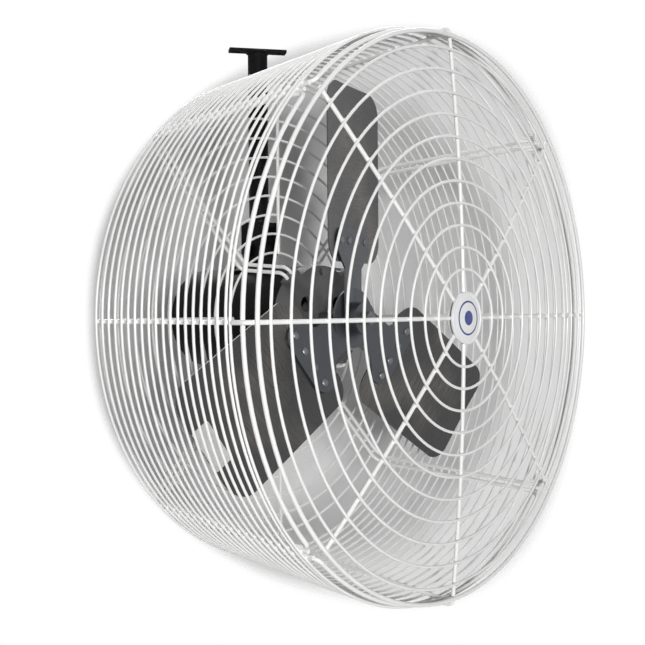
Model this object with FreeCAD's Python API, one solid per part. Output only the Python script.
import FreeCAD, Part
import math
import os
from FreeCAD import Rotation, Vector

# Hanging air circulator fan: a round wire cage with a motor through its back, on a T hanger.
# Millimetres. While pieces are made, X runs across, Y back from the front rim and Z up from the fan axis.
# At export everything moves so that the origin is the middle of the T bar's top face.

# Hanger
HANG_HEIGHT = 366.0
POST_DEPTH = 316.0
BAR_LENGTH = 78.0
BAR_WIDTH = 16.0
BAR_THICK = 4.0
BAR_TURN = -36.8
BAR_HOLE_SPACING = 60.0
BAR_HOLE_DIA = 6.6
PIPE_DIA = 26.7
PIPE_WALL = 3.2
STUD_DIA = 12.0
STUD_PLUG_LENGTH = 30.0
SWIVEL_NUT_FLATS = 19.0
SWIVEL_NUT_HEIGHT = 10.8
SWIVEL_WASHER_DIA = 24.0
SWIVEL_WASHER_THICK = 2.0
STUD_SPARE = 2.4

# Yoke and tilt pivot
YOKE_TOP = 130.0
YOKE_WIDTH = 36.0
YOKE_DEPTH = 33.0
YOKE_PLATE = 6.0
YOKE_EAR = 5.0
PIVOT_HEIGHT = 92.0
PIVOT_DIA = 10.0
PIVOT_HEAD_FLATS = 17.0
PIVOT_HEAD_HEIGHT = 6.5
PIVOT_NUT_HEIGHT = 8.5
PIVOT_WASHER_DIA = 20.0
PIVOT_WASHER_THICK = 1.6
PIVOT_SPARE = 2.5
LUG_RADIUS = 13.0

# Motor
MOTOR_DIA = 136.0
SHELL_WALL = 2.0
MOTOR_FRONT = 203.0
MOTOR_REAR = 421.0
BELL_SKIRT = 22.0
BELL_WALL = 6.0
BELL_SIDE = 4.0
BEARING_DIA = 40.0
BEARING_WIDTH = 12.0
BEARING_BOSS_WALL = 5.0
BEARING_SET_BACK = 5.0
SHAFT_DIA = 16.0
SHAFT_FRONT = 122.0
VENT_DIA = 20.0
VENT_CIRCLE_DIA = 72.0
VENT_COUNT = 3
VENT_FIRST_ANGLE = 30.0
STATOR_LENGTH = 70.0
STATOR_MIDDLE = 312.0
STATOR_BORE = 72.0
AIR_GAP = 0.5
WINDING_LENGTH = 18.0
WINDING_INNER = 80.0
WINDING_OUTER = 112.0
THROUGH_BOLT_DIA = 5.0
THROUGH_BOLT_CIRCLE_DIA = 120.0
THROUGH_BOLT_COUNT = 4
THROUGH_HEAD_DIA = 9.0
THROUGH_HEAD_HEIGHT = 3.5
LUG_EAR_WIDTH = 22.0
LUG_EAR_THICK = 16.0
LUG_EAR_HEIGHT = 8.0
SADDLE_LENGTH = 70.0
SADDLE_THICK = 4.0
SADDLE_HALF_ANGLE = 26.0
SADDLE_SCREW_DIA = 5.0
SADDLE_SCREW_ANGLE = 19.0
SADDLE_SCREW_SPACING = 54.0
SADDLE_HEAD_DIA = 8.5
SADDLE_HEAD_HEIGHT = 2.6
CAPACITOR_DIA = 30.0
CAPACITOR_LENGTH = 72.0
CAPACITOR_MIDDLE = 352.0
COVER_WALL = 2.0
COVER_ROOM = 3.0
GLAND_HEX = 22.0
GLAND_HEX_HEIGHT = 7.0
GLAND_NOSE_DIA = 17.0
GLAND_NOSE_LENGTH = 12.0
GLAND_BORE = 9.0

# Wire cage
RING_WIRE = 3.2
HOOP_WIRE = 3.0
ROD_DIA = 4.8
RIM_RADIUS = 327.3
DOME_HEIGHT = 16.9
FIRST_RING_RADIUS = 56.4
RING_PITCH = 25.4
FRONT_RING_COUNT = 11
SPOKE_COUNT = 8
SPOKE_INNER_RADIUS = 18.0
SPOKE_HOOK_LENGTH = 17.0
SPOKE_HOOK_BEND_RADIUS = 7.0
LIP_DEPTH = 15.5
LIP_END_LENGTH = 20.0
LIP_BEND_RADIUS = 7.0
HOOP_FIRST_RADIUS = 334.2
HOOP_FIRST_DEPTH = 34.0
HOOP_PITCH = 12.7
HOOP_COUNT = 19
HOOP_TAPER = 0.0976
TWIN_HOOP_STEP = 6.6
REAR_DEPTH = 280.0
REAR_BEND_RADIUS = 22.0
REAR_RING_COUNT = 9
REAR_RING_ROOM = 20.0
REAR_RING_SET_IN = 15.0
ARM_SPACING = 10.4
ARM_TURN_RADIUS = 94.0
ARM_END_RADIUS = 86.0
ARM_BEND_RADIUS = 9.0
BADGE_DIA = 60.0
BADGE_EDGE = 2.6
BADGE_CROWN = 2.2
BACK_PLATE_DIA = 50.0
BACK_PLATE_THICK = 2.0
BADGE_SCREW_DIA = 5.0
BADGE_SCREW_HEAD_DIA = 9.0
BADGE_SCREW_HEAD_HEIGHT = 3.0

# Propeller
BLADE_COUNT = 3
BLADE_TOP_ANGLE = 90.0
BLADE_TIP_RADIUS = 298.6
BLADE_ROOT_RADIUS = 70.0
BLADE_LEAD = 76.6
BLADE_TRAIL = 67.1
BLADE_PITCH = 14.0
BLADE_CAMBER = 3.0
BLADE_THICK = 1.6
BLADE_CORNER = 28.0
HUB_DEPTH = 150.0
HUB_DIA = 40.0
HUB_LENGTH = 36.0
SPIDER_THICK = 2.6
SPIDER_RADIUS = 113.0
SPIDER_HALF_WIDTH = 45.0
SPIDER_SHOULDER = 84.0
SPIDER_NECK_RADIUS = 62.0
SPIDER_NECK_HALF = 23.0
SPIDER_DISC_RADIUS = 38.0
SPIDER_CORNER = 18.0
RIVET_DIA = 5.0
RIVET_HEAD_DIA = 9.5
RIVET_HEAD_HEIGHT = 2.2
RIVET_ROW_RADIUS = 97.0
RIVET_PITCH = 23.0
RIVET_COUNT = 4
SET_SCREW_DIA = 8.0
SET_SCREW_PROUD = 1.5
SET_SCREW_ANGLE = 150.0

# Clearances
RUNNING = 0.05
SEAT = 0.1
SIDE_PLAY = 0.3
HOLE_PLAY = 0.1

# Values that follow from the ones above
MOTOR_R = MOTOR_DIA / 2
ROD_R = ROD_DIA / 2
RING_R = RING_WIRE / 2
HOOP_R = HOOP_WIRE / 2
PIPE_R = PIPE_DIA / 2
SHAFT_R = SHAFT_DIA / 2
BAR_UNDER = HANG_HEIGHT - BAR_THICK
PIPE_BOTTOM = YOKE_TOP + SEAT + SWIVEL_WASHER_THICK
YOKE_UNDER = YOKE_TOP - YOKE_PLATE
NUT_TOP = YOKE_UNDER - SEAT - SWIVEL_WASHER_THICK
NUT_UNDER = NUT_TOP - SWIVEL_NUT_HEIGHT
EAR_FACE = YOKE_WIDTH / 2
WASHER_FACE = EAR_FACE + PIVOT_WASHER_THICK
PIVOT_NUT_END = WASHER_FACE + PIVOT_NUT_HEIGHT
DOME_RADIUS = (RIM_RADIUS ** 2 + DOME_HEIGHT ** 2) / (2 * DOME_HEIGHT)
DOME_CENTRE = DOME_RADIUS - DOME_HEIGHT
SPOKE_SPHERE = DOME_RADIUS - RING_R - ROD_R - SEAT
RIM_SPHERE = SPOKE_SPHERE + ROD_DIA + SEAT
RIB_INSET = HOOP_R + ROD_R + SEAT
LIP_RADIUS = HOOP_FIRST_RADIUS - RIB_INSET
LIP_GAP_ANGLE = math.degrees((ARM_SPACING / 2 + ROD_DIA + SEAT) / LIP_RADIUS)
RIB_FRONT = LIP_DEPTH + ROD_R * (1 + HOOP_TAPER) + SEAT
REAR_FIRST_RADIUS = MOTOR_R + REAR_RING_ROOM
HUB_FRONT = HUB_DEPTH - HUB_LENGTH / 2
SHAFT_REAR = MOTOR_REAR - BELL_WALL - SIDE_PLAY
ARM_HOOK_DEPTH = MOTOR_FRONT + LUG_EAR_THICK / 2
CHORD_HALF = max(BLADE_LEAD, BLADE_TRAIL) / math.cos(math.radians(BLADE_PITCH))
SHEET_MARGIN = 1.2
CAMBER_RADIUS = (CHORD_HALF ** 2 + BLADE_CAMBER ** 2) / (2 * BLADE_CAMBER)
BACK = Vector(0, 1, 0)
UP = Vector(0, 0, 1)
ORTHOGONAL = [0.0, 90.0, 180.0, 270.0]
DIAGONAL = {"upper_right": 45.0, "upper_left": 135.0, "lower_left": 225.0, "lower_right": 315.0}


# Small makers

def cylinder(radius, start, end):
    along = end - start
    return Part.makeCylinder(radius, along.Length, start, along)


def cylinder_back(radius, front, rear, x=0.0, z=0.0):
    return cylinder(radius, Vector(x, front, z), Vector(x, rear, z))


def tube_back(outer, inner, front, rear):
    return cylinder_back(outer, front, rear).cut(cylinder_back(inner, front, rear))


def wire_ring(radius, wire_radius, depth):
    return Part.makeTorus(radius, wire_radius, Vector(0, depth, 0), BACK)


def polar(angle, radius, depth, side=0.0):
    turn = math.radians(angle)
    x = radius * math.cos(turn) - side * math.sin(turn)
    z = radius * math.sin(turn) + side * math.cos(turn)
    return Vector(x, depth, z)


def hexagon(flats, start, end):
    along = end - start
    corner = flats / math.sqrt(3)
    points = [Vector(corner * math.cos(math.radians(60 * i)), corner * math.sin(math.radians(60 * i)), 0)
              for i in range(7)]
    prism = Part.Face(Part.makePolygon(points)).extrude(Vector(0, 0, along.Length))
    prism.Placement = FreeCAD.Placement(start, Rotation(UP, along))
    return prism


def turned_back(shape, angle):
    copy = shape.copy()
    copy.rotate(Vector(0, 0, 0), BACK, -angle)
    return copy


def bent_edges(points, bend):
    edges = []
    start = points[0]
    for before, corner, after in zip(points, points[1:], points[2:]):
        inward = (before - corner).normalize()
        outward = (after - corner).normalize()
        half = inward.getAngle(outward) / 2
        reach = bend / math.tan(half)
        middle_line = (inward + outward).normalize()
        first = corner + inward * reach
        last = corner + outward * reach
        middle = corner + middle_line * (bend / math.sin(half) - bend)
        edges.append(Part.LineSegment(start, first).toShape())
        edges.append(Part.Arc(first, middle, last).toShape())
        start = last
    edges.append(Part.LineSegment(start, points[-1]).toShape())
    return edges


def rod_along(edges, diameter):
    path = Part.Wire(edges)
    first = edges[0]
    start = first.valueAt(first.FirstParameter)
    along = first.tangentAt(first.FirstParameter)
    ring = Part.Wire(Part.makeCircle(diameter / 2, start, along))
    return path.makePipeShell([ring], True, True)


def group(solids):
    return Part.makeCompound(solids)


# Hanger

def t_bar():
    bar = Part.makeBox(BAR_LENGTH, BAR_WIDTH, BAR_THICK, Vector(-BAR_LENGTH / 2, -BAR_WIDTH / 2, BAR_UNDER))
    for side in (-1, 1):
        foot = Vector(side * BAR_HOLE_SPACING / 2, 0, BAR_UNDER)
        bar = bar.cut(cylinder(BAR_HOLE_DIA / 2, foot, foot + UP * BAR_THICK))
    bar.rotate(Vector(0, 0, 0), UP, BAR_TURN)
    bar.translate(BACK * POST_DEPTH)
    return bar


def on_post(height):
    return Vector(0, POST_DEPTH, height)


def hanger_pipe():
    outer = cylinder(PIPE_R, on_post(PIPE_BOTTOM), on_post(BAR_UNDER))
    return outer.cut(cylinder(PIPE_R - PIPE_WALL, on_post(PIPE_BOTTOM), on_post(BAR_UNDER)))


def swivel_stud():
    plug = cylinder(PIPE_R - PIPE_WALL, on_post(PIPE_BOTTOM), on_post(PIPE_BOTTOM + STUD_PLUG_LENGTH))
    stem = cylinder(STUD_DIA / 2, on_post(NUT_UNDER - STUD_SPARE), on_post(PIPE_BOTTOM))
    return plug.fuse(stem).removeSplitter()


def swivel_nut():
    nut = hexagon(SWIVEL_NUT_FLATS, on_post(NUT_UNDER), on_post(NUT_TOP))
    return nut.cut(cylinder(STUD_DIA / 2, on_post(NUT_UNDER), on_post(NUT_TOP)))


def washer_on_post(under, outer_dia):
    top = under + SWIVEL_WASHER_THICK
    ring = cylinder(outer_dia / 2, on_post(under), on_post(top))
    return ring.cut(cylinder(STUD_DIA / 2, on_post(under), on_post(top)))


def swivel_washers():
    return group([washer_on_post(YOKE_TOP + SEAT, PIPE_DIA), washer_on_post(NUT_TOP, SWIVEL_WASHER_DIA)])


# Yoke and tilt pivot

def on_pivot(x):
    return Vector(x, POST_DEPTH, PIVOT_HEIGHT)


def yoke_ear(side):
    outer = side * YOKE_WIDTH / 2
    inner = outer - side * YOKE_EAR
    low = min(outer, inner)
    plate = Part.makeBox(YOKE_EAR, YOKE_DEPTH, YOKE_TOP - PIVOT_HEIGHT,
                         Vector(low, POST_DEPTH - YOKE_DEPTH / 2, PIVOT_HEIGHT))
    round_end = cylinder(YOKE_DEPTH / 2, on_pivot(low), on_pivot(low + YOKE_EAR))
    ear = plate.fuse(round_end)
    return ear.cut(cylinder(PIVOT_DIA / 2 + HOLE_PLAY, on_pivot(low), on_pivot(low + YOKE_EAR)))


def swivel_yoke():
    plate = Part.makeBox(YOKE_WIDTH, YOKE_DEPTH, YOKE_PLATE,
                         Vector(-YOKE_WIDTH / 2, POST_DEPTH - YOKE_DEPTH / 2, YOKE_UNDER))
    yoke = plate.fuse([yoke_ear(-1), yoke_ear(1)]).removeSplitter()
    hole = cylinder(STUD_DIA / 2 + RUNNING, on_post(YOKE_UNDER), on_post(YOKE_TOP))
    return yoke.cut(hole)


def tilt_pivot_bolt():
    shank = cylinder(PIVOT_DIA / 2, on_pivot(-WASHER_FACE), on_pivot(PIVOT_NUT_END + PIVOT_SPARE))
    head = hexagon(PIVOT_HEAD_FLATS, on_pivot(-WASHER_FACE - PIVOT_HEAD_HEIGHT), on_pivot(-WASHER_FACE))
    return shank.fuse(head)


def tilt_pivot_nut():
    nut = hexagon(PIVOT_HEAD_FLATS, on_pivot(WASHER_FACE), on_pivot(PIVOT_NUT_END))
    return nut.cut(cylinder(PIVOT_DIA / 2, on_pivot(WASHER_FACE), on_pivot(PIVOT_NUT_END)))


def tilt_washers():
    pair = []
    for start, end in ((-WASHER_FACE, -EAR_FACE), (EAR_FACE, WASHER_FACE)):
        disc = cylinder(PIVOT_WASHER_DIA / 2, on_pivot(start), on_pivot(end))
        pair.append(disc.cut(cylinder(PIVOT_DIA / 2 + HOLE_PLAY, on_pivot(start), on_pivot(end))))
    return group(pair)


# Motor

def bearing_span(bell):
    if bell == "front":
        start = MOTOR_FRONT + BEARING_SET_BACK
        return start, start + BEARING_WIDTH
    end = MOTOR_REAR - BEARING_SET_BACK
    return end - BEARING_WIDTH, end


def through_bolt_places():
    step = 360 / THROUGH_BOLT_COUNT
    return [polar(step * i, THROUGH_BOLT_CIRCLE_DIA / 2, 0) for i in range(THROUGH_BOLT_COUNT)]


def drilled(shape, places, diameter, front, rear):
    holes = [cylinder_back(diameter / 2, front, rear, place.x, place.z) for place in places]
    return shape.cut(holes)


def end_bell(outer_face, inner_face, bell):
    front, rear = min(outer_face, inner_face), max(outer_face, inner_face)
    inward = 1 if inner_face > outer_face else -1
    wall_inner = outer_face + inward * BELL_WALL
    hollow = cylinder_back(MOTOR_R - BELL_SIDE, min(wall_inner, inner_face), max(wall_inner, inner_face))
    boss_front, boss_rear = bearing_span(bell)
    boss = cylinder_back(BEARING_DIA / 2 + BEARING_BOSS_WALL, min(outer_face, boss_front),
                         max(outer_face, boss_rear))
    pocket = cylinder_back(BEARING_DIA / 2, boss_front, boss_rear)
    cup = cylinder_back(MOTOR_R, front, rear).cut(hollow).fuse(boss).cut(pocket)
    step = 360 / VENT_COUNT
    vents = [polar(VENT_FIRST_ANGLE + step * i, VENT_CIRCLE_DIA / 2, 0) for i in range(VENT_COUNT)]
    cup = drilled(cup, vents, VENT_DIA, front, rear)
    return drilled(cup, through_bolt_places(), THROUGH_BOLT_DIA + HOLE_PLAY, front, rear)


def arm_lug(angle):
    reach = MOTOR_R + LUG_EAR_HEIGHT
    inner = MOTOR_R - BELL_SIDE
    block = Part.makeBox(reach - inner, LUG_EAR_THICK, LUG_EAR_WIDTH,
                         Vector(inner, MOTOR_FRONT, -LUG_EAR_WIDTH / 2))
    for side in (-ARM_SPACING / 2, ARM_SPACING / 2):
        foot = Vector(MOTOR_R, ARM_HOOK_DEPTH, side)
        block = block.cut(cylinder(ROD_R + HOLE_PLAY, foot, Vector(reach, ARM_HOOK_DEPTH, side)))
    return turned_back(block, angle)


def motor_front_bell():
    cup = end_bell(MOTOR_FRONT, MOTOR_FRONT + BELL_SKIRT, "front")
    cup = cup.cut(cylinder_back(SHAFT_R + HOLE_PLAY, MOTOR_FRONT, MOTOR_FRONT + BELL_SKIRT))
    return cup.fuse([arm_lug(angle) for angle in DIAGONAL.values()]).removeSplitter()


def motor_rear_bell():
    return end_bell(MOTOR_REAR, MOTOR_REAR - BELL_SKIRT, "rear").removeSplitter()


def motor_shell():
    return tube_back(MOTOR_R, MOTOR_R - SHELL_WALL, MOTOR_FRONT + BELL_SKIRT, MOTOR_REAR - BELL_SKIRT)


def stator_core():
    front = STATOR_MIDDLE - STATOR_LENGTH / 2
    rear = front + STATOR_LENGTH
    core = tube_back(MOTOR_R - SHELL_WALL, STATOR_BORE / 2, front, rear)
    notch = THROUGH_BOLT_DIA + 2 * SIDE_PLAY
    return drilled(core, through_bolt_places(), notch, front, rear)


def stator_windings():
    front = STATOR_MIDDLE - STATOR_LENGTH / 2
    rear = front + STATOR_LENGTH
    return group([tube_back(WINDING_OUTER / 2, WINDING_INNER / 2, front - WINDING_LENGTH, front),
                  tube_back(WINDING_OUTER / 2, WINDING_INNER / 2, rear, rear + WINDING_LENGTH)])


def bearing(bell):
    front, rear = bearing_span(bell)
    return tube_back(BEARING_DIA / 2, SHAFT_R + RUNNING, front, rear)


def motor_through_bolts():
    bolts = []
    for place in through_bolt_places():
        shank = cylinder_back(THROUGH_BOLT_DIA / 2, MOTOR_FRONT, MOTOR_REAR, place.x, place.z)
        ends = []
        for start, end in ((MOTOR_FRONT - THROUGH_HEAD_HEIGHT, MOTOR_FRONT),
                           (MOTOR_REAR, MOTOR_REAR + THROUGH_HEAD_HEIGHT)):
            ends.append(hexagon(THROUGH_HEAD_DIA, place + BACK * start, place + BACK * end))
        bolts.append(shank.fuse(ends))
    return group(bolts)


def saddle_screw_places():
    places = []
    for side in (-1, 1):
        for step in (-1, 1):
            depth = POST_DEPTH + step * SADDLE_SCREW_SPACING / 2
            places.append((90 + side * SADDLE_SCREW_ANGLE, depth))
    return places


def motor_saddle():
    front = POST_DEPTH - SADDLE_LENGTH / 2
    rear = POST_DEPTH + SADDLE_LENGTH / 2
    band = tube_back(MOTOR_R + SADDLE_THICK, MOTOR_R, front, rear)
    reach = 2 * MOTOR_R
    left = polar(90 + SADDLE_HALF_ANGLE, reach, front)
    right = polar(90 - SADDLE_HALF_ANGLE, reach, front)
    wedge = Part.Face(Part.makePolygon([Vector(0, front, 0), left, right, Vector(0, front, 0)]))
    band = band.common(wedge.extrude(BACK * SADDLE_LENGTH))
    lug_half = YOKE_WIDTH / 2 - YOKE_EAR - SIDE_PLAY
    lug_low = math.sqrt(MOTOR_R ** 2 - lug_half ** 2)
    lug = Part.makeBox(2 * lug_half, 2 * LUG_RADIUS, PIVOT_HEIGHT - lug_low,
                       Vector(-lug_half, POST_DEPTH - LUG_RADIUS, lug_low))
    top = cylinder(LUG_RADIUS, on_pivot(-lug_half), on_pivot(lug_half))
    solid = lug.cut(cylinder_back(MOTOR_R, front, rear)).fuse([top, band]).removeSplitter()
    solid = solid.cut(cylinder(PIVOT_DIA / 2 + RUNNING, on_pivot(-lug_half), on_pivot(lug_half)))
    holes = []
    for angle, depth in saddle_screw_places():
        inner = polar(angle, MOTOR_R - SHELL_WALL, depth)
        holes.append(cylinder(SADDLE_SCREW_DIA / 2, inner, polar(angle, MOTOR_R + 2 * SADDLE_THICK, depth)))
    return solid.cut(holes)


def saddle_screws():
    screws = []
    for angle, depth in saddle_screw_places():
        seat = MOTOR_R + SADDLE_THICK
        shank = cylinder(SADDLE_SCREW_DIA / 2, polar(angle, MOTOR_R + SEAT, depth), polar(angle, seat, depth))
        top = seat + SADDLE_HEAD_HEIGHT
        head = cylinder(SADDLE_HEAD_DIA / 2, polar(angle, seat, depth), polar(angle, top, depth))
        screws.append(shank.fuse(head))
    return group(screws)


def capacitor_centre():
    return MOTOR_R + COVER_ROOM + CAPACITOR_DIA / 2


def run_capacitor():
    front = CAPACITOR_MIDDLE - CAPACITOR_LENGTH / 2
    return cylinder_back(CAPACITOR_DIA / 2, front, front + CAPACITOR_LENGTH, capacitor_centre())


def cover_block(room, front, rear):
    radius = CAPACITOR_DIA / 2 + room
    rounded = cylinder_back(radius, front, rear, capacitor_centre())
    body = Part.makeBox(capacitor_centre(), rear - front, 2 * radius, Vector(0, front, -radius))
    return rounded.fuse(body)


def capacitor_cover():
    front = CAPACITOR_MIDDLE - CAPACITOR_LENGTH / 2
    rear = front + CAPACITOR_LENGTH
    margin = COVER_WALL + SEAT
    outer = cover_block(SEAT + COVER_WALL, front - margin, rear + margin)
    inner = cover_block(SEAT, front - SEAT, rear + SEAT)
    shell = outer.cut(inner).cut(cylinder_back(MOTOR_R, front - margin, rear + margin))
    inside = Vector(capacitor_centre(), CAPACITOR_MIDDLE, -CAPACITOR_DIA / 2)
    return shell.cut(cylinder(GLAND_BORE / 2, inside - UP * 2 * margin, inside))


def cable_gland():
    top = -CAPACITOR_DIA / 2 - SEAT - COVER_WALL
    x = capacitor_centre()
    seat = Vector(x, CAPACITOR_MIDDLE, top)
    shoulder = seat - UP * GLAND_HEX_HEIGHT
    tip = shoulder - UP * GLAND_NOSE_LENGTH
    gland = hexagon(GLAND_HEX, shoulder, seat).fuse(cylinder(GLAND_NOSE_DIA / 2, tip, shoulder))
    return gland.cut(cylinder(GLAND_BORE / 2, tip, seat))


# Wire cage

def dome_depth(radius, sphere):
    return DOME_CENTRE - math.sqrt(sphere ** 2 - radius ** 2)


def front_guard_rings():
    rings = []
    for index in range(FRONT_RING_COUNT):
        radius = FIRST_RING_RADIUS + index * RING_PITCH
        rings.append(wire_ring(radius, RING_R, dome_depth(radius, DOME_RADIUS)))
    return group(rings)


def front_guard_rim():
    return wire_ring(RIM_RADIUS, ROD_R, dome_depth(RIM_RADIUS, RIM_SPHERE))


def dome_arc(angle, outer_radius):
    middle_radius = (SPOKE_INNER_RADIUS + outer_radius) / 2
    radii = (SPOKE_INNER_RADIUS, middle_radius, outer_radius)
    return Part.Arc(*[polar(angle, radius, dome_depth(radius, SPOKE_SPHERE)) for radius in radii]).toShape()


def plain_spoke(angle):
    return rod_along([dome_arc(angle, RIM_RADIUS + ROD_R / 2)], ROD_DIA)


def hooked_spoke(angle):
    hook_radius = rib_radius(RIB_FRONT) + ROD_DIA + SEAT
    leave = RIM_RADIUS - 3 * ROD_DIA
    slope = leave / math.sqrt(SPOKE_SPHERE ** 2 - leave ** 2)
    corner_depth = dome_depth(leave, SPOKE_SPHERE) + (hook_radius - leave) * slope
    points = [polar(angle, leave, dome_depth(leave, SPOKE_SPHERE)), polar(angle, hook_radius, corner_depth),
              polar(angle, hook_radius, corner_depth + SPOKE_HOOK_LENGTH)]
    return rod_along([dome_arc(angle, leave)] + bent_edges(points, SPOKE_HOOK_BEND_RADIUS), ROD_DIA)


def front_guard_spokes():
    spokes = []
    for index in range(SPOKE_COUNT):
        angle = 360 / SPOKE_COUNT * index
        spokes.append(hooked_spoke(angle) if angle in ORTHOGONAL else plain_spoke(angle))
    return group(spokes)


def badge_seat():
    return dome_depth(SPOKE_INNER_RADIUS, SPOKE_SPHERE) - ROD_R - SEAT


def guard_badge():
    seat = badge_seat()
    radius = BADGE_DIA / 2
    crown_radius = (radius ** 2 + BADGE_CROWN ** 2) / (2 * BADGE_CROWN)
    disc = cylinder_back(radius, seat - BADGE_EDGE - BADGE_CROWN, seat)
    ball = Part.makeSphere(crown_radius, Vector(0, seat - BADGE_EDGE - BADGE_CROWN + crown_radius, 0))
    disc = disc.common(ball)
    return disc.cut(cylinder_back(BADGE_SCREW_DIA / 2 + HOLE_PLAY, seat - BADGE_EDGE, seat))


def plate_front():
    return dome_depth(BACK_PLATE_DIA / 2, SPOKE_SPHERE) + ROD_R + SEAT


def badge_back_plate():
    front = plate_front()
    return tube_back(BACK_PLATE_DIA / 2, BADGE_SCREW_DIA / 2 + HOLE_PLAY, front, front + BACK_PLATE_THICK)


def badge_screw():
    seat = plate_front() + BACK_PLATE_THICK
    shank = cylinder_back(BADGE_SCREW_DIA / 2, badge_seat() - BADGE_EDGE / 2, seat)
    return shank.fuse(cylinder_back(BADGE_SCREW_HEAD_DIA / 2, seat, seat + BADGE_SCREW_HEAD_HEIGHT))


def barrel_radius(depth):
    return HOOP_FIRST_RADIUS - HOOP_TAPER * (depth - HOOP_FIRST_DEPTH)


def hoop_depths():
    twin = HOOP_FIRST_DEPTH - TWIN_HOOP_STEP
    return [twin] + [HOOP_FIRST_DEPTH + index * HOOP_PITCH for index in range(HOOP_COUNT)]


def barrel_hoops(depths):
    return group([wire_ring(barrel_radius(depth), HOOP_R, depth) for depth in depths])


def lip_end(angle, sideways):
    leave = polar(angle, LIP_RADIUS, LIP_DEPTH)
    outward = polar(angle + sideways, LIP_BEND_RADIUS, 0)
    backward = BACK * LIP_BEND_RADIUS
    eighth = math.radians(45)
    middle = leave + outward * math.sin(eighth) + backward * (1 - math.cos(eighth))
    bent = leave + outward + backward
    tip = leave + outward + BACK * LIP_END_LENGTH
    return leave, middle, bent, tip


def lip_rod(start_angle):
    turn = math.degrees(LIP_BEND_RADIUS / LIP_RADIUS)
    first = start_angle + LIP_GAP_ANGLE + turn
    last = start_angle + 90 - LIP_GAP_ANGLE - turn
    leave_1, middle_1, bent_1, tip_1 = lip_end(first, -90)
    leave_2, middle_2, bent_2, tip_2 = lip_end(last, 90)
    top = polar((first + last) / 2, LIP_RADIUS, LIP_DEPTH)
    edges = [Part.LineSegment(tip_1, bent_1).toShape(), Part.Arc(bent_1, middle_1, leave_1).toShape(),
             Part.Arc(leave_1, top, leave_2).toShape(), Part.Arc(leave_2, middle_2, bent_2).toShape(),
             Part.LineSegment(bent_2, tip_2).toShape()]
    return rod_along(edges, ROD_DIA)


def barrel_front_lip():
    return group([lip_rod(angle) for angle in DIAGONAL.values()])


def rib_radius(depth):
    return barrel_radius(depth) - RIB_INSET


def cage_rib(angle):
    points = [polar(angle, rib_radius(RIB_FRONT), RIB_FRONT),
              polar(angle, rib_radius(REAR_DEPTH), REAR_DEPTH),
              polar(angle, REAR_FIRST_RADIUS - RING_R, REAR_DEPTH)]
    return rod_along(bent_edges(points, REAR_BEND_RADIUS), ROD_DIA)


def cage_ribs():
    return group([cage_rib(angle) for angle in ORTHOGONAL])


def arm_rod(angle, side):
    halfway = polar(angle, (RIM_RADIUS + ARM_TURN_RADIUS) / 2, REAR_DEPTH, side)
    barrel = bent_edges([polar(angle, rib_radius(RIB_FRONT), RIB_FRONT, side),
                         polar(angle, rib_radius(REAR_DEPTH), REAR_DEPTH, side),
                         halfway], REAR_BEND_RADIUS)
    inner = bent_edges([halfway,
                        polar(angle, ARM_TURN_RADIUS, REAR_DEPTH, side),
                        polar(angle, ARM_END_RADIUS, ARM_HOOK_DEPTH, side),
                        polar(angle, MOTOR_R + SEAT, ARM_HOOK_DEPTH, side)], ARM_BEND_RADIUS)
    return rod_along(barrel + inner, ROD_DIA)


def support_arm(angle):
    return group([arm_rod(angle, side * ARM_SPACING / 2) for side in (-1, 1)])


def rear_guard_rings():
    depth = REAR_DEPTH + ROD_R + RING_R + SEAT
    last_radius = rib_radius(REAR_DEPTH) - REAR_RING_SET_IN
    pitch = (last_radius - REAR_FIRST_RADIUS) / (REAR_RING_COUNT - 1)
    radii = [REAR_FIRST_RADIUS + index * pitch for index in range(REAR_RING_COUNT)]
    return group([wire_ring(radius, RING_R, depth) for radius in radii])


# Propeller

def pitched(shape):
    shape.rotate(Vector(0, 0, 0), UP, BLADE_PITCH)
    shape.translate(BACK * HUB_DEPTH)
    return shape


def camber_sheet(near, far, low, high):
    sagitta = math.sqrt(CAMBER_RADIUS ** 2 - CHORD_HALF ** 2)
    centre = Vector(0, -sagitta, low)
    half = math.asin(CHORD_HALF / CAMBER_RADIUS) * SHEET_MARGIN

    def at(radius, angle):
        return centre + Vector(radius * math.sin(angle), radius * math.cos(angle), 0)

    inner = Part.Arc(at(near, -half), at(near, 0), at(near, half)).toShape()
    outer = Part.Arc(at(far, half), at(far, 0), at(far, -half)).toShape()
    ends = [Part.LineSegment(at(near, half), at(far, half)).toShape(),
            Part.LineSegment(at(far, -half), at(near, -half)).toShape()]
    face = Part.Face(Part.Wire([inner, ends[0], outer, ends[1]]))
    return face.extrude(UP * (high - low))


def outline_prism(points):
    reach = 2 * CHORD_HALF
    wire = Part.makePolygon([Vector(x, HUB_DEPTH - reach, z) for x, z in points + points[:1]])
    return Part.Face(wire).extrude(BACK * 2 * reach)


def rounded_prism(points, rounded_at, radius):
    prism = outline_prism(points)
    edges = []
    for edge in prism.Edges:
        middle = edge.CenterOfMass
        for x, z in rounded_at:
            if abs(middle.x - x) < SEAT and abs(middle.z - z) < SEAT:
                edges.append(edge)
    return prism.makeFillet(radius, edges)


def rivet_axes():
    axes = []
    for index in range(RIVET_COUNT):
        chord = (index - (RIVET_COUNT - 1) / 2) * RIVET_PITCH
        angle = math.asin(chord / CAMBER_RADIUS)
        sagitta = math.sqrt(CAMBER_RADIUS ** 2 - CHORD_HALF ** 2)
        normal = Vector(math.sin(angle), math.cos(angle), 0)
        centre = Vector(0, -sagitta, RIVET_ROW_RADIUS)
        axes.append((centre, normal))
    return axes


def rivet_cut(near, far):
    return [cylinder(RIVET_DIA / 2, centre + normal * near, centre + normal * far)
            for centre, normal in rivet_axes()]


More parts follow.
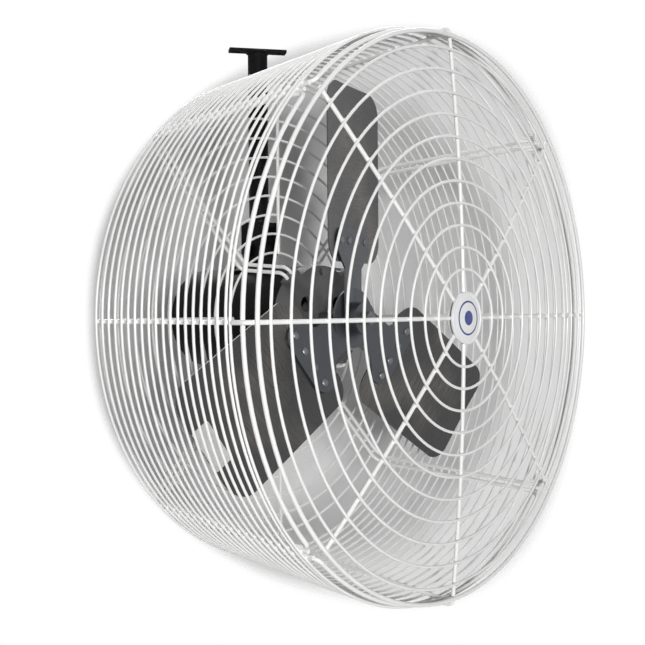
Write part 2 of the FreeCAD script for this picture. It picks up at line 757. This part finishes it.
def upright_blade():
    sheet = camber_sheet(CAMBER_RADIUS, CAMBER_RADIUS + BLADE_THICK, BLADE_ROOT_RADIUS, BLADE_TIP_RADIUS)
    sheet = pitched(sheet.cut(rivet_cut(CAMBER_RADIUS - SPIDER_THICK, CAMBER_RADIUS + 2 * BLADE_THICK)))
    far = BLADE_TIP_RADIUS - BLADE_CORNER / 4
    corners = [(-BLADE_TRAIL, BLADE_ROOT_RADIUS), (-BLADE_TRAIL, far), (BLADE_LEAD, far),
               (BLADE_LEAD, BLADE_ROOT_RADIUS)]
    outline = rounded_prism(corners, corners, BLADE_CORNER)
    disc = cylinder_back(BLADE_TIP_RADIUS, HUB_DEPTH - CHORD_HALF, HUB_DEPTH + CHORD_HALF)
    return sheet.common(outline).common(disc)


def spider_lobe():
    near = CAMBER_RADIUS - SEAT - SPIDER_THICK
    far = CAMBER_RADIUS - SEAT
    sheet = camber_sheet(near, far, 0, SPIDER_RADIUS)
    sheet = pitched(sheet.cut(rivet_cut(near - SPIDER_THICK, far + BLADE_THICK)))
    corners = [(-SPIDER_HALF_WIDTH, SPIDER_RADIUS), (SPIDER_HALF_WIDTH, SPIDER_RADIUS)]
    points = [(-SPIDER_NECK_HALF, 0), (-SPIDER_NECK_HALF, SPIDER_NECK_RADIUS),
              (-SPIDER_HALF_WIDTH, SPIDER_SHOULDER), corners[0], corners[1],
              (SPIDER_HALF_WIDTH, SPIDER_SHOULDER), (SPIDER_NECK_HALF, SPIDER_NECK_RADIUS),
              (SPIDER_NECK_HALF, 0)]
    return sheet.common(rounded_prism(points, corners, SPIDER_CORNER))


def blade_angles():
    return [BLADE_TOP_ANGLE + 360 / BLADE_COUNT * index for index in range(BLADE_COUNT)]


def turned_to_blade(shape, angle):
    return turned_back(shape, angle - 90)


def set_screw_span():
    bore = polar(SET_SCREW_ANGLE, SHAFT_R, HUB_FRONT + HUB_LENGTH - SET_SCREW_DIA)
    face = polar(SET_SCREW_ANGLE, HUB_DIA / 2 + SET_SCREW_PROUD, HUB_FRONT + HUB_LENGTH - SET_SCREW_DIA)
    return bore, face


def blade_spider():
    lobe = spider_lobe()
    lobes = [turned_to_blade(lobe, angle) for angle in blade_angles()]
    boss = cylinder_back(HUB_DIA / 2, HUB_FRONT, HUB_FRONT + HUB_LENGTH)
    disc_rear = HUB_DEPTH + BLADE_CAMBER - SEAT
    disc = cylinder_back(SPIDER_DISC_RADIUS, disc_rear - SPIDER_THICK, disc_rear)
    hub = boss.fuse([disc] + lobes).cut(cylinder_back(SHAFT_R, HUB_FRONT, HUB_FRONT + HUB_LENGTH))
    return hub.cut(cylinder(SET_SCREW_DIA / 2, *set_screw_span())).removeSplitter()


def hub_set_screw():
    bore, face = set_screw_span()
    shaft = cylinder_back(SHAFT_R, HUB_FRONT, HUB_FRONT + HUB_LENGTH)
    return cylinder(SET_SCREW_DIA / 2, bore, face).cut(shaft)


def blade_rivets():
    near = CAMBER_RADIUS - SEAT - SPIDER_THICK - RUNNING
    far = CAMBER_RADIUS + BLADE_THICK + RUNNING
    row = []
    for centre, normal in rivet_axes():
        front, rear = centre + normal * near, centre + normal * far
        shank = cylinder(RIVET_DIA / 2, front, rear)
        heads = [cylinder(RIVET_HEAD_DIA / 2, front - normal * RIVET_HEAD_HEIGHT, front),
                 cylinder(RIVET_HEAD_DIA / 2, rear, rear + normal * RIVET_HEAD_HEIGHT)]
        row.append(pitched(shank.fuse(heads)))
    return group([turned_to_blade(rivet, angle) for angle in blade_angles() for rivet in row])


def motor_shaft():
    return cylinder_back(SHAFT_R, SHAFT_FRONT, SHAFT_REAR)


def rotor_core():
    front = STATOR_MIDDLE - STATOR_LENGTH / 2
    return tube_back(STATOR_BORE / 2 - AIR_GAP, SHAFT_R, front, front + STATOR_LENGTH)


# Every piece by its name

def all_pieces():
    pieces = {
        "t_bar": t_bar(),
        "hanger_pipe": hanger_pipe(),
        "swivel_stud": swivel_stud(),
        "swivel_nut": swivel_nut(),
        "swivel_washers": swivel_washers(),
        "swivel_yoke": swivel_yoke(),
        "tilt_pivot_bolt": tilt_pivot_bolt(),
        "tilt_pivot_nut": tilt_pivot_nut(),
        "tilt_washers": tilt_washers(),
        "motor_saddle": motor_saddle(),
        "saddle_screws": saddle_screws(),
        "motor_shell": motor_shell(),
        "motor_front_bell": motor_front_bell(),
        "motor_rear_bell": motor_rear_bell(),
        "stator_core": stator_core(),
        "stator_windings": stator_windings(),
        "front_bearing": bearing("front"),
        "rear_bearing": bearing("rear"),
        "motor_through_bolts": motor_through_bolts(),
        "run_capacitor": run_capacitor(),
        "capacitor_cover": capacitor_cover(),
        "cable_gland": cable_gland(),
        "cage_ribs": cage_ribs(),
        "barrel_hoops_front": barrel_hoops(hoop_depths()[:HOOP_COUNT // 2]),
        "barrel_hoops_rear": barrel_hoops(hoop_depths()[HOOP_COUNT // 2:]),
        "barrel_front_lip": barrel_front_lip(),
        "rear_guard_rings": rear_guard_rings(),
        "front_guard_rings": front_guard_rings(),
        "front_guard_spokes": front_guard_spokes(),
        "front_guard_rim": front_guard_rim(),
        "guard_badge": guard_badge(),
        "badge_back_plate": badge_back_plate(),
        "badge_screw": badge_screw(),
        "motor_shaft": motor_shaft(),
        "rotor_core": rotor_core(),
        "blade_spider": blade_spider(),
        "blade_rivets": blade_rivets(),
        "hub_set_screw": hub_set_screw(),
    }
    for name, angle in DIAGONAL.items():
        pieces["support_arm_" + name] = support_arm(angle)
    blade = upright_blade()
    for index, angle in enumerate(blade_angles()):
        pieces["blade_%d" % (index + 1)] = turned_to_blade(blade, angle)
    return pieces


os.makedirs("parts", exist_ok=True)
for name, shape in all_pieces().items():
    shape.translate(Vector(0, -POST_DEPTH, -HANG_HEIGHT))
    shape.exportStep("parts/" + name + ".step")
    print(name, len(shape.Solids), "solids", round(shape.Volume), "mm3", shape.isValid())
